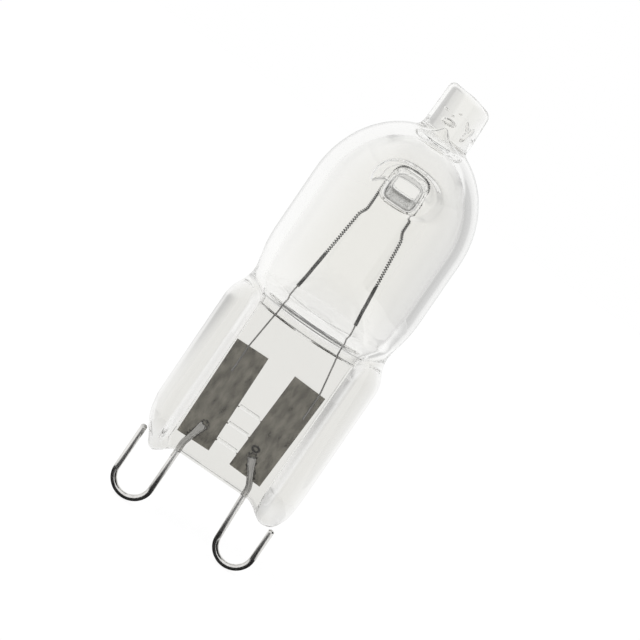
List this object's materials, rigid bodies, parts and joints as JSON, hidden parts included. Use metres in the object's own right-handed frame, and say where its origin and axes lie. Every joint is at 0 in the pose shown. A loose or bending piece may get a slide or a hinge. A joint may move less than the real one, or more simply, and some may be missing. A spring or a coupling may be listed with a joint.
{
  "type": "halogen capsule bulb",
  "caption": "Clear quartz halogen capsule with a coiled filament over a glass post, a flat pinch seal with foils, an exhaust tip and looped wire contact pins.",
  "frame": {"origin": "middle of the pinch's level foot, in the plane of the contact pins, where the pins leave the glass", "axes": "+Z along the bulb from its pins to its exhaust tip, +X along the pinch's width to the right as seen from the front, -Y is the front"},
  "size_m": [0.0132, 0.0126, 0.0387],
  "materials": {
    "quartz": "clear, fire-polished",
    "tungsten": "fine coil, grey",
    "lead_wire": "drawn wire, grey",
    "seal_foil": "crinkled foil, grey-brown",
    "pin_wire": "bright drawn wire"
  },
  "bodies": {
    "root": {"quartz_envelope": "quartz", "filament": "tungsten", "left_inner_lead": "lead_wire", "right_inner_lead": "lead_wire", "left_seal_foil": "seal_foil", "right_seal_foil": "seal_foil", "left_contact_pin": "pin_wire", "right_contact_pin": "pin_wire"}
  },
  "joints": []
}
